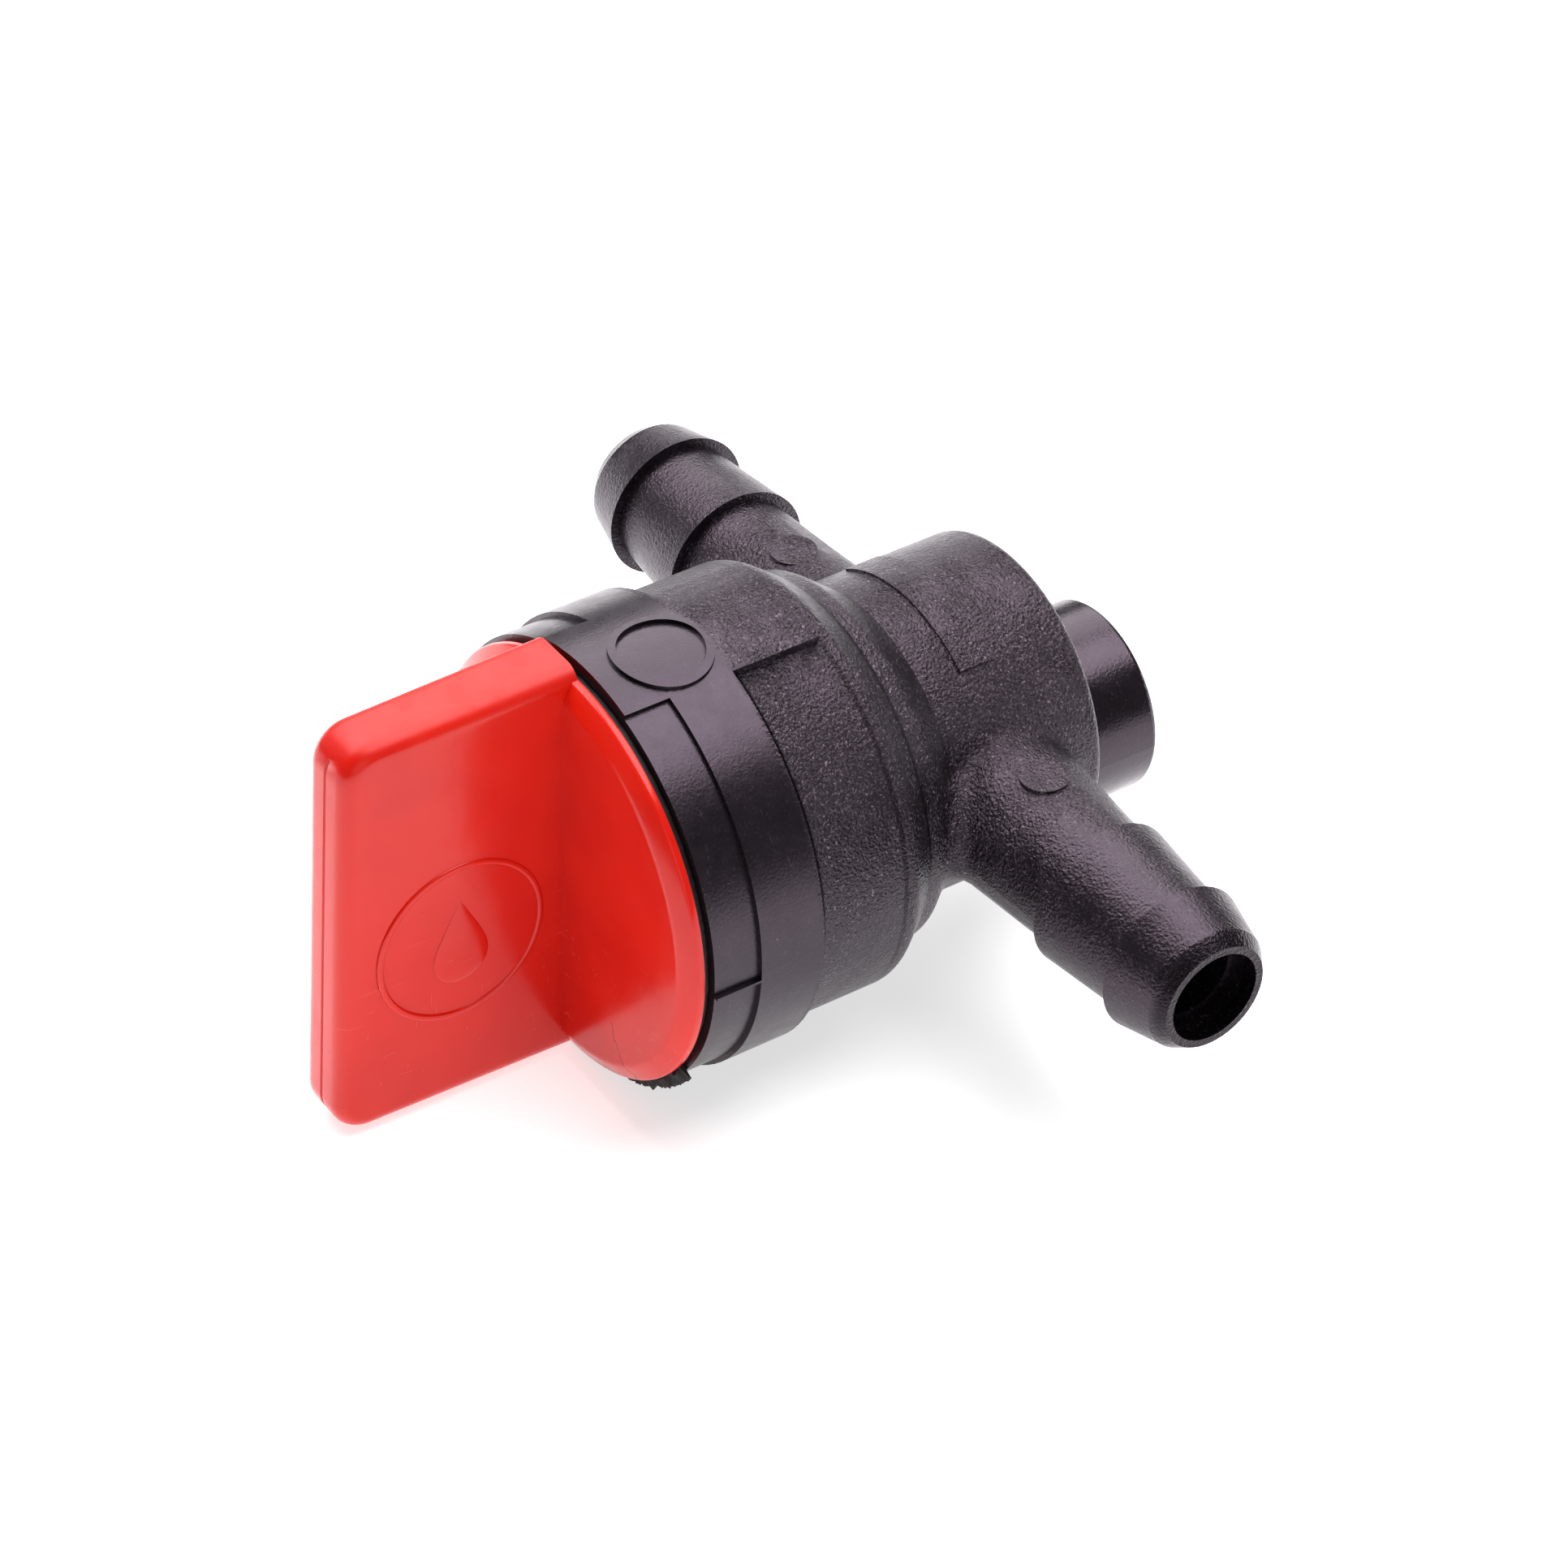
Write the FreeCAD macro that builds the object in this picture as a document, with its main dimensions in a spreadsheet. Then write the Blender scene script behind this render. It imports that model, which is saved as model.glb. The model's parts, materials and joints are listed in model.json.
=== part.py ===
"""In-line quarter-turn fuel tap for 1/4 in (6.35 mm) hose, drawn closed.

The flow runs along X between two barbed spigots.  The knob faces -Y and turns about the Y axis that
crosses the flow axis in the rotor chamber.  +Z is up.  Sizes are in millimetres.  Every sub-part is
drawn about that crossing point and then placed so that the origin is the centre of the inlet mouth.
"""
import FreeCAD
import Part
import math
import os
import Sketcher

doc = FreeCAD.newDocument("fuel_tap")

# Driving dimensions.  "ahead" is a distance toward the knob (-Y) from the flow axis, "behind" is a
# distance toward the rear boss (+Y).  Angles are in degrees about the turn axis, from +X toward +Z.
DIMENSIONS = {
    # hose spigots
    "spigot_reach": 24.0,          # turn axis to either mouth
    "neck_root_radius": 3.85,
    "neck_end_radius": 3.42,
    "barb_radius": 3.95,           # 7.9 mm over the barbs grips a 6.35 mm hose
    "barb_one_start": 15.3,
    "barb_two_start": 20.7,
    "barb_two_end": 23.3,
    "barb_two_end_radius": 3.3,
    "mouth_lip_radius": 2.8,
    "mouth_radius": 2.4,
    "mouth_depth": 1.8,
    "port_radius": 2.15,
    "spigot_embed": 6.3,           # where the spigot starts inside the barrel wall
    "root_fillet": 0.9,
    # rear barrel and boss
    "barrel_radius": 8.05,
    "barrel_behind": 5.5,
    "barrel_edge": 0.45,
    "boss_radius": 4.95,
    "boss_drop": 3.0,              # boss axis below the turn axis
    "boss_length": 5.9,
    "boss_edge": 0.3,
    # shoulder between barrel and cup
    "shoulder_ahead": 3.1,
    "collar_radius": 9.5,
    "collar_ahead": 4.9,
    "collar_foot_radius": 9.62,
    "collar_foot_ahead": 5.75,
    "skirt_radius": 10.85,
    "skirt_ahead": 7.35,
    "shoulder_round": 0.8,
    # cup
    "cup_radius": 11.4,
    "cup_back_ahead": 8.2,
    "rim_ahead": 19.05,
    "side_recess_front": 13.1,
    "side_recess_angle": 72.9,
    "band_radius": 11.15,
    "band_back": 16.6,
    "band_angle": 72.5,
    "band_split_angle": 2.5,
    "band_split_half": 0.35,
    # inside of the body
    "chamber_radius": 5.5,
    "chamber_behind": 4.3,
    "floor_ahead": 9.2,
    "bowl_radius": 9.4,
    "clip_groove_radius": 9.9,
    "clip_back": 12.0,
    "clip_front": 12.75,
    "stop_inner_radius": 8.1,
    "stop_back": 13.4,
    "stop_half_angle": 15.0,
    "stop_angle": -90.0,
    "seal_seat_radius": 3.3,
    "seal_seat_reach": 7.0,
    # marks left by the mould
    "mark_height": 0.12,
    "ring_mark_height": 0.2,
    "ring_mark_ahead": 15.35,
    "ring_mark_shift": 0.8,
    "ring_mark_outer": 2.5,
    "ring_mark_inner": 2.1,
    "strip_half_width": 0.95,
    "strip_start_angle": 54.4,
    "strip_end_angle": 125.6,
    "neck_mark_reach": 10.4,
    "neck_mark_radius": 1.2,
    "neck_mark_radius_high": 3.8,
    # rotor
    "running_gap": 0.05,
    "rotor_behind": 4.1,
    "flange_back": 9.75,
    "flange_front": 11.75,
    "flange_radius": 9.2,
    "hub_radius": 6.6,
    "hub_front": 13.0,
    "tang_across": 8.0,
    "tang_front": 17.4,
    "ring_groove_ahead": 5.9,
    "ring_groove_radius": 4.2,
    "ring_groove_half": 0.85,
    "ring_section": 0.62,
    "ring_middle_radius": 4.84,
    # thin rings
    "washer_inner": 5.8,
    "washer_outer": 9.2,
    "washer_front": 9.7,
    "clip_inner": 8.2,
    "clip_outer": 9.85,
    "clip_gap_half_angle": 14.0,
    "dust_inner": 10.2,
    "dust_outer": 10.7,
    "dust_front": 19.35,
    # knob
    "disc_radius": 10.95,
    "disc_back": 19.4,
    "disc_edge_ahead": 19.75,
    "disc_front": 20.35,
    "disc_face_radius": 10.05,
    "skirt_inner_radius": 9.3,
    "skirt_back": 13.15,
    "socket_gap": 0.02,
    "socket_depth_front": 17.5,
    "notch_inner_radius": 7.9,
    "notch_play": 1.0,
    "turn_range": 90.0,
    "blade_front": 32.3,
    "blade_half_height": 11.5,
    "blade_thickness": 3.5,
    "blade_shift": -1.6,
    "blade_corner": 1.2,
    "blade_edge": 0.45,
    "blade_root": 0.5,
    "foot_half_length": 9.1,
    "badge_ahead": 25.9,
    "badge_drop": 1.8,
    "badge_outer": 4.6,
    "badge_inner": 4.25,
    "badge_height": 0.12,
    "drop_radius": 1.5,
    "drop_low": 1.0,
    "drop_height": 3.4,
}

dims = doc.addObject("Spreadsheet::Sheet", "Dims")
for row, (alias, value) in enumerate(DIMENSIONS.items(), start=1):
    dims.set("A%d" % row, str(value))
    dims.setAlias("A%d" % row, alias)
doc.recompute()


def size(expression):
    """Present value of an expression of sheet aliases, written with a D. before each alias."""
    result = dims.evalExpression(expression.replace("D.", ""))
    return float(getattr(result, "Value", result))


def bound(expression):
    """The same expression as an object of the document reads it."""
    return expression.replace("D.", "Dims.")


def new_body(name):
    return doc.addObject("PartDesign::Body", name)


def origin_feature(body, role):
    """A plane or axis of a body's own origin."""
    return next(item for item in body.Origin.OriginFeatures if item.Role == role)


def new_sketch(body, name, role, lift="0"):
    """An empty sketch on an origin plane, lifted along that plane's normal."""
    sketch = body.newObject("Sketcher::SketchObject", name)
    sketch.AttachmentSupport = [(origin_feature(body, role), "")]
    sketch.MapMode = "FlatFace"
    if lift != "0":
        sketch.setExpression("AttachmentOffset.Base.z", bound(lift))
    return sketch


def hold(sketch, constraint, expression):
    """Add a constraint and bind its value to the sheet."""
    index = sketch.addConstraint(constraint)
    sketch.setExpression("Constraints[%d]" % index, bound(expression))


def outline(body, name, role, corners, lift="0"):
    """A closed polygon whose corners are pairs of expressions."""
    sketch = new_sketch(body, name, role, lift)
    points = [FreeCAD.Vector(size(across), size(along), 0) for across, along in corners]
    count = len(points)
    for index in range(count):
        sketch.addGeometry(Part.LineSegment(points[index], points[(index + 1) % count]))
    for index in range(count):
        sketch.addConstraint(Sketcher.Constraint("Coincident", index, 2, (index + 1) % count, 1))
    for index, (across, along) in enumerate(corners):
        hold(sketch, Sketcher.Constraint("DistanceX", -1, 1, index, 1, points[index].x), across)
        hold(sketch, Sketcher.Constraint("DistanceY", -1, 1, index, 1, points[index].y), along)
    return sketch


def circles(body, name, role, centre, radii, lift="0"):
    """Concentric circles about a centre given as a pair of expressions."""
    sketch = new_sketch(body, name, role, lift)
    middle = FreeCAD.Vector(size(centre[0]), size(centre[1]), 0)
    for index, radius in enumerate(radii):
        sketch.addGeometry(Part.Circle(middle, FreeCAD.Vector(0, 0, 1), size(radius)))
        hold(sketch, Sketcher.Constraint("Radius", index, size(radius)), radius)
        hold(sketch, Sketcher.Constraint("DistanceX", -1, 1, index, 3, middle.x), centre[0])
        hold(sketch, Sketcher.Constraint("DistanceY", -1, 1, index, 3, middle.y), centre[1])
    return sketch


def sector(body, name, inner, outer, start, end, lift):
    """A piece of a ring about the turn axis, in a plane across that axis."""
    sketch = new_sketch(body, name, "XZ_Plane", lift)
    first, last = math.radians(size(start)), math.radians(size(end))
    up = FreeCAD.Vector(0, 0, 1)
    centre = FreeCAD.Vector(0, 0, 0)
    near = Part.Circle(centre, up, size(inner))
    far = Part.Circle(centre, up, size(outer))
    sketch.addGeometry(Part.ArcOfCircle(near, first, last))
    sketch.addGeometry(Part.ArcOfCircle(far, first, last))
    sketch.addGeometry(Part.LineSegment(near.value(first), far.value(first)))
    sketch.addGeometry(Part.LineSegment(near.value(last), far.value(last)))
    for line, arc_end in ((2, 1), (3, 2)):
        sketch.addConstraint(Sketcher.Constraint("Coincident", line, 1, 0, arc_end))
        sketch.addConstraint(Sketcher.Constraint("Coincident", line, 2, 1, arc_end))
    for arc, radius in ((0, inner), (1, outer)):
        sketch.addConstraint(Sketcher.Constraint("Coincident", arc, 3, -1, 1))
        hold(sketch, Sketcher.Constraint("Radius", arc, size(radius)), radius)
    for line, angle, turn in ((2, start, first), (3, end, last)):
        hold(sketch, Sketcher.Constraint("DistanceX", -1, 1, line, 2, size(outer) * math.cos(turn)),
             "(%s) * cos((%s) * 1 deg)" % (outer, angle))
    return sketch


def revolve(body, name, profile, axis, cut=False):
    kind = "PartDesign::Groove" if cut else "PartDesign::Revolution"
    feature = body.newObject(kind, name)
    feature.Profile = profile
    feature.ReferenceAxis = (profile, [axis])
    feature.Angle = 360
    doc.recompute()
    return feature


def pad(body, name, profile, length, backward=False):
    feature = body.newObject("PartDesign::Pad", name)
    feature.Profile = profile
    feature.setExpression("Length", bound(length))
    feature.Reversed = backward
    doc.recompute()
    return feature


def pocket(body, name, profile, length, forward=False):
    feature = body.newObject("PartDesign::Pocket", name)
    feature.Profile = profile
    feature.setExpression("Length", bound(length))
    feature.Reversed = forward
    doc.recompute()
    return feature


def repeat(body, name, originals, axis_role, count=2):
    """Copies of features turned about one of the body's own axes."""
    pattern = body.newObject("PartDesign::PolarPattern", name)
    pattern.Originals = originals
    pattern.Axis = (origin_feature(body, axis_role), [""])
    pattern.Angle = 360
    pattern.Occurrences = count
    body.Tip = pattern
    doc.recompute()
    return pattern


def edges_where(feature, test):
    return ["Edge%d" % number for number, edge in enumerate(feature.Shape.Edges, start=1) if test(edge)]


def round_edges(body, name, base, names, radius):
    feature = body.newObject("PartDesign::Fillet", name)
    feature.Base = (base, names)
    feature.setExpression("Radius", bound(radius))
    doc.recompute()
    return feature


def circle_edge(radius, along, across=(0.0, 0.0)):
    """A test for a full or partial circle about a line parallel to the turn axis."""
    def test(edge):
        curve = edge.Curve
        if not isinstance(curve, Part.Circle) or abs(abs(curve.Axis.y) - 1) > 1e-6:
            return False
        centre = curve.Center
        offset = max(abs(centre.x - across[0]), abs(centre.y - along), abs(centre.z - across[1]))
        return offset < 1e-4 and abs(curve.Radius - radius) < 1e-4
    return test


def place(part, label):
    """Move a finished sub-part so that the origin is the centre of the inlet mouth."""
    part.Label = label
    part.setExpression("Placement.Base.x", "Dims.spigot_reach")
    return part


def make_valve_body():
    """One black moulding: cup, shoulder, barrel, two hose spigots and the rear boss."""
    body = new_body("ValveBody")
    shell = revolve(body, "Shell", outline(body, "ShellOutline", "XY_Plane", [
        ("0", "D.barrel_behind"),
        ("D.barrel_radius", "D.barrel_behind"),
        ("D.barrel_radius", "-D.shoulder_ahead"),
        ("D.collar_radius", "-D.collar_ahead"),
        ("D.collar_foot_radius", "-D.collar_foot_ahead"),
        ("D.skirt_radius", "-D.skirt_ahead"),
        ("D.skirt_radius", "-D.cup_back_ahead"),
        ("D.cup_radius", "-D.cup_back_ahead"),
        ("D.cup_radius", "-D.rim_ahead"),
        ("0", "-D.rim_ahead"),
    ]), "V_Axis")
    corners = [
        circle_edge(size("D.collar_radius"), -size("D.collar_ahead")),
        circle_edge(size("D.skirt_radius"), -size("D.skirt_ahead")),
    ]
    names = edges_where(shell, lambda edge: any(corner(edge) for corner in corners))
    round_edges(body, "ShoulderRounds", shell, names, "D.shoulder_round")

    # recessed sides behind the front band, left and right
    side = pocket(body, "SideRecess", sector(
        body, "SideRecessOutline", "D.skirt_radius", "D.cup_radius + 1",
        "-D.side_recess_angle", "D.side_recess_angle", "D.side_recess_front"),
        "D.side_recess_front - D.cup_back_ahead")
    repeat(body, "SideRecesses", [side], "Y_Axis")

    # shallow steps of the front band, two on each side with a thin line left between them
    upper = pocket(body, "BandUpper", sector(
        body, "BandUpperOutline", "D.band_radius", "D.cup_radius + 1",
        "D.band_split_half - D.band_split_angle", "D.band_angle", "D.rim_ahead"),
        "D.rim_ahead - D.band_back")
    repeat(body, "BandUppers", [upper], "Y_Axis")
    lower = pocket(body, "BandLower", sector(
        body, "BandLowerOutline", "D.band_radius", "D.cup_radius + 1",
        "-D.band_angle", "-D.band_split_half - D.band_split_angle", "D.rim_ahead"),
        "D.rim_ahead - D.band_back")
    repeat(body, "BandLowers", [lower], "Y_Axis")

    # one hose spigot, then its opposite
    spigot = revolve(body, "Spigot", outline(body, "SpigotOutline", "XY_Plane", [
        ("D.spigot_embed", "0"),
        ("D.spigot_embed", "D.neck_root_radius"),
        ("D.barrel_radius + 1", "D.neck_root_radius"),
        ("D.barb_one_start", "D.neck_end_radius"),
        ("D.barb_one_start", "D.barb_radius"),
        ("D.barb_two_start", "D.neck_end_radius"),
        ("D.barb_two_start", "D.barb_radius"),
        ("D.barb_two_end", "D.barb_two_end_radius"),
        ("D.spigot_reach", "D.mouth_lip_radius"),
        ("D.spigot_reach", "0"),
    ]), "H_Axis")
    spigots = repeat(body, "Spigots", [spigot], "Y_Axis")
    reach = size("D.barrel_radius")
    names = edges_where(spigots, lambda edge: is_spigot_root(edge, reach))
    round_edges(body, "SpigotRoots", spigots, names, "D.root_fillet")

    # rear boss, below the turn axis and level with the underside of the barrel
    boss_outline = circles(body, "BossOutline", "XZ_Plane", ("0", "-D.boss_drop"), ["D.boss_radius"],
                           "-D.barrel_behind")
    boss = pad(body, "Boss", boss_outline, "D.boss_length", backward=True)
    boss_end = size("D.barrel_behind + D.boss_length")
    names = edges_where(boss, circle_edge(size("D.boss_radius"), boss_end, (0, -size("D.boss_drop"))))
    boss = round_edges(body, "BossEnd", boss, names, "D.boss_edge")
    names = edges_where(boss, circle_edge(size("D.barrel_radius"), size("D.barrel_behind")))
    round_edges(body, "BarrelEnd", boss, names, "D.barrel_edge")

    add_mould_marks(body)
    hollow_body(body)
    return place(body, "valve_body")


def is_spigot_root(edge, reach):
    """True for the curves where a spigot neck runs into the barrel and the shoulder."""
    if isinstance(edge.Curve, (Part.Circle, Part.Line)):
        return False
    box = edge.BoundBox
    near = min(abs(box.XMin), abs(box.XMax))
    far = max(abs(box.XMin), abs(box.XMax))
    return near > reach - 2 and far < reach + 1.5 and box.XMin * box.XMax > 0


def add_mould_marks(body):
    """Shallow raised marks: ring on the cup, strip on the barrel, a disc on each spigot neck."""
    ring = circles(body, "RingMarkOutline", "XY_Plane", ("D.ring_mark_shift", "-D.ring_mark_ahead"),
                   ["D.ring_mark_outer", "D.ring_mark_inner"])
    pad(body, "RingMark", ring, "D.cup_radius + 1")
    revolve(body, "RingMarkTrim", outline(body, "RingMarkTrimOutline", "XY_Plane", [
        ("D.cup_radius + D.ring_mark_height", "-D.rim_ahead + 0.1"),
        ("D.cup_radius + 2", "-D.rim_ahead + 0.1"),
        ("D.cup_radius + 2", "-D.cup_back_ahead"),
        ("D.cup_radius + D.ring_mark_height", "-D.cup_back_ahead"),
    ]), "V_Axis", cut=True)
    strip = sector(body, "StripOutline", "D.barrel_radius - 0.3", "D.barrel_radius + D.mark_height",
                   "D.strip_start_angle", "D.strip_end_angle", "-D.strip_half_width")
    pad(body, "Strip", strip, "2 * D.strip_half_width")
    disc = pad(body, "NeckMark", circles(
        body, "NeckMarkOutline", "XY_Plane", ("D.neck_mark_reach", "0"), ["D.neck_mark_radius"]),
        "D.neck_mark_radius_high")
    repeat(body, "NeckMarks", [disc], "Z_Axis")


def hollow_body(body):
    """Bowl, rotor chamber, clip groove, seal seats and flow ports."""
    axis = ("0", "0")
    bowl = circles(body, "BowlOutline", "XZ_Plane", axis, ["D.bowl_radius"], "D.rim_ahead")
    pocket(body, "Bowl", bowl, "D.rim_ahead - D.floor_ahead")
    chamber = circles(body, "ChamberOutline", "XZ_Plane", axis, ["D.chamber_radius"], "D.floor_ahead")
    pocket(body, "Chamber", chamber, "D.floor_ahead + D.chamber_behind")
    revolve(body, "ClipGroove", outline(body, "ClipGrooveOutline", "XY_Plane", [
        ("D.bowl_radius - 0.5", "-D.clip_back"),
        ("D.clip_groove_radius", "-D.clip_back"),
        ("D.clip_groove_radius", "-D.clip_front"),
        ("D.bowl_radius - 0.5", "-D.clip_front"),
    ]), "V_Axis", cut=True)
    port = revolve(body, "Port", outline(body, "PortOutline", "XY_Plane", [
        ("D.chamber_radius - 1.6", "0"),
        ("D.chamber_radius - 1.6", "D.seal_seat_radius"),
        ("D.seal_seat_reach", "D.seal_seat_radius"),
        ("D.seal_seat_reach", "D.port_radius"),
        ("D.spigot_reach - D.mouth_depth", "D.port_radius"),
        ("D.spigot_reach - D.mouth_depth", "D.mouth_radius"),
        ("D.spigot_reach + 0.5", "D.mouth_radius"),
        ("D.spigot_reach + 0.5", "0"),
    ]), "H_Axis", cut=True)
    repeat(body, "Ports", [port], "Y_Axis")
    stop = sector(body, "StopOutline", "D.stop_inner_radius", "D.bowl_radius + 0.3",
                  "D.stop_angle - D.stop_half_angle", "D.stop_angle + D.stop_half_angle", "D.stop_back")
    pad(body, "Stop", stop, "D.rim_ahead - 1 - D.stop_back")


def make_rotor():
    """Plug with its cross bore, O-ring groove, flange and hexagonal drive; closed, so the bore is upright."""
    body = new_body("Rotor")
    plug = "D.chamber_radius - D.running_gap"
    revolve(body, "Plug", outline(body, "PlugOutline", "XY_Plane", [
        ("0", "D.rotor_behind"),
        (plug, "D.rotor_behind"),
        (plug, "D.ring_groove_half - D.ring_groove_ahead"),
        ("D.ring_groove_radius", "D.ring_groove_half - D.ring_groove_ahead"),
        ("D.ring_groove_radius", "-D.ring_groove_half - D.ring_groove_ahead"),
        (plug, "-D.ring_groove_half - D.ring_groove_ahead"),
        (plug, "-D.flange_back"),
        ("D.flange_radius", "-D.flange_back"),
        ("D.flange_radius", "-D.flange_front"),
        ("D.hub_radius", "-D.flange_front"),
        ("D.hub_radius", "-D.hub_front"),
        ("0", "-D.hub_front"),
    ]), "V_Axis")
    tang = hexagon(body, "TangOutline", "D.tang_across", "D.hub_front")
    pad(body, "Tang", tang, "D.tang_front - D.hub_front")
    bore = body.newObject("PartDesign::Pocket", "CrossBore")
    bore.Profile = circles(body, "CrossBoreOutline", "XY_Plane", ("0", "0"), ["D.port_radius"])
    bore.Type = "ThroughAll"
    bore.Midplane = True
    doc.recompute()
    return place(body, "rotor")


def hexagon(body, name, across, lift):
    """A regular hexagon about the turn axis, two of its corners on the Z axis."""
    corners = []
    for index in range(6):
        corners.append(("(%s) / sqrt(3) * sin(%d deg)" % (across, 60 * index),
                        "(%s) / sqrt(3) * cos(%d deg)" % (across, 60 * index)))
    return outline(body, name, "XZ_Plane", corners, lift)


def make_knob():
    """Red moulding: disc, notched skirt with the drive socket, blade and a plain badge."""
    body = new_body("Knob")
    revolve(body, "Disc", outline(body, "DiscOutline", "XY_Plane", [
        ("0", "-D.skirt_back"),
        ("D.skirt_inner_radius", "-D.skirt_back"),
        ("D.skirt_inner_radius", "-D.disc_back"),
        ("D.disc_radius", "-D.disc_back"),
        ("D.disc_radius", "-D.disc_edge_ahead"),
        ("D.disc_face_radius", "-D.disc_front"),
        ("0", "-D.disc_front"),
    ]), "V_Axis")
    socket = hexagon(body, "SocketOutline", "D.tang_across + 2 * D.socket_gap", "D.socket_depth_front")
    pocket(body, "Socket", socket, "D.socket_depth_front - D.skirt_back")
    notch = sector(body, "NotchOutline", "D.notch_inner_radius", "D.skirt_inner_radius + 1",
                   "D.stop_angle - D.stop_half_angle - D.turn_range - D.notch_play",
                   "D.stop_angle + D.stop_half_angle + D.notch_play", "D.disc_back - 1")
    pocket(body, "Notch", notch, "D.disc_back - 1 - D.skirt_back")

    # the blade stands a little to the inlet side of the turn axis
    blade_outline = outline(body, "BladeOutline", "YZ_Plane", [
        ("-D.disc_back - 0.1", "D.blade_half_height"),
        ("-D.blade_front", "D.blade_half_height"),
        ("-D.blade_front", "-D.blade_half_height"),
        ("-D.disc_back - 0.1", "-D.blade_half_height"),
    ], "D.blade_shift - D.blade_thickness / 2")
    blade = pad(body, "Blade", blade_outline, "D.blade_thickness")
    tip = -size("D.blade_front")
    names = edges_where(blade, lambda edge: is_across_blade(edge, tip))
    blade = round_edges(body, "BladeCorners", blade, names, "D.blade_corner")
    names = edges_where(blade, is_blade_border)
    round_edges(body, "BladeEdges", blade, names, "D.blade_edge")
    for side, name in ((-1, "FootInlet"), (1, "FootOutlet")):
        face = "D.blade_shift + %d * (D.blade_thickness / 2 - 0.2)" % side
        foot = outline(body, name + "Outline", "XY_Plane", [
            (face, "-D.disc_front + 0.2"),
            ("%s + %d * (D.blade_root + 0.4)" % (face, side), "-D.disc_front + 0.2"),
            (face, "-D.disc_front - D.blade_root - 0.2"),
        ], "-D.foot_half_length")
        pad(body, name, foot, "2 * D.foot_half_length")
    add_badge(body)
    return place(body, "knob")


def is_across_blade(edge, tip):
    """True for the two outer corners of the blade, which run through its thickness."""
    box = edge.BoundBox
    return box.XLength > 1 and box.YLength < 1e-4 and box.ZLength < 1e-4 and abs(box.YMin - tip) < 1e-4


def is_blade_border(edge):
    """True for the edges that run round either broad face of the blade, clear of the disc."""
    box = edge.BoundBox
    middle, half = size("D.blade_shift"), size("D.blade_thickness / 2")
    on_face = abs(abs((box.XMin + box.XMax) / 2 - middle) - half) < 1e-3 and box.XLength < 1e-3
    return on_face and (box.YMin + box.YMax) / 2 < -size("D.disc_front") - 1


def add_badge(body):
    """A raised ring with a plain drop in it, on the broad face toward the outlet."""
    face = "D.blade_shift + D.blade_thickness / 2 - 0.05"
    height = "D.badge_height + 0.05"
    ring = circles(body, "BadgeRingOutline", "YZ_Plane", ("-D.badge_ahead", "-D.badge_drop"),
                   ["D.badge_outer", "D.badge_inner"], face)
    pad(body, "BadgeRing", ring, height)
    drop = circles(body, "DropOutline", "YZ_Plane", ("-D.badge_ahead", "-D.badge_drop - D.drop_low"),
                   ["D.drop_radius"], face)
    pad(body, "Drop", drop, height)
    half_width = "D.drop_radius * sqrt(1 - (D.drop_radius / D.drop_height) ^ 2)"
    low = "-D.badge_drop - D.drop_low + D.drop_radius ^ 2 / D.drop_height"
    tip = outline(body, "DropTipOutline", "YZ_Plane", [
        ("-D.badge_ahead - " + half_width, low),
        ("-D.badge_ahead + " + half_width, low),
        ("-D.badge_ahead", "-D.badge_drop - D.drop_low + D.drop_height"),
    ], face)
    pad(body, "DropTip", tip, height)


def make_thrust_washer():
    """Slip washer between the bowl floor and the rotor flange."""
    body = new_body("ThrustWasher")
    flat = circles(body, "ThrustWasherOutline", "XZ_Plane", ("0", "0"),
                   ["D.washer_outer", "D.washer_inner"], "D.floor_ahead")
    pad(body, "ThrustWasherPlate", flat, "D.washer_front - D.floor_ahead")
    return place(body, "thrust_washer")


def make_retaining_ring():
    """Open snap ring in the bowl groove that keeps the rotor in."""
    body = new_body("RetainingRing")
    flat = sector(body, "RetainingRingOutline", "D.clip_inner", "D.clip_outer",
                  "D.clip_gap_half_angle - 90", "270 - D.clip_gap_half_angle", "D.clip_back + 0.03")
    pad(body, "RetainingRingPlate", flat, "D.clip_front - D.clip_back - 0.06")
    return place(body, "retaining_ring")


def make_dust_ring():
    """Thin rubber ring between the cup rim and the knob disc."""
    body = new_body("DustRing")
    flat = circles(body, "DustRingOutline", "XZ_Plane", ("0", "0"), ["D.dust_outer", "D.dust_inner"],
                   "D.rim_ahead")
    pad(body, "DustRingPlate", flat, "D.dust_front - D.rim_ahead")
    return place(body, "dust_ring")


def make_stem_o_ring():
    """O-ring in the rotor groove, ahead of the ports."""
    body = new_body("StemORing")
    section = circles(body, "StemORingSection", "XY_Plane", ("D.ring_middle_radius", "-D.ring_groove_ahead"),
                      ["D.ring_section"])
    revolve(body, "StemORingSweep", section, "V_Axis")
    return place(body, "stem_o_ring")


def make_port_seal(label, side):
    """Rubber sleeve around one port, its inner end hollowed to the rotor."""
    body = new_body("PortSeal" + label.split("_")[0].title())
    revolve(body, "Sleeve" + label, outline(body, "SleeveOutline" + label, "XY_Plane", [
        ("%d * (D.chamber_radius - 1.2)" % side, "D.port_radius"),
        ("%d * (D.chamber_radius - 1.2)" % side, "D.seal_seat_radius"),
        ("%d * D.seal_seat_reach" % side, "D.seal_seat_radius"),
        ("%d * D.seal_seat_reach" % side, "D.port_radius"),
    ]), "H_Axis")
    chamber = circles(body, "SleeveHollow" + label, "XZ_Plane", ("0", "0"), ["D.chamber_radius"], "10")
    pocket(body, "SleeveFace" + label, chamber, "20")
    return place(body, label)


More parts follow.
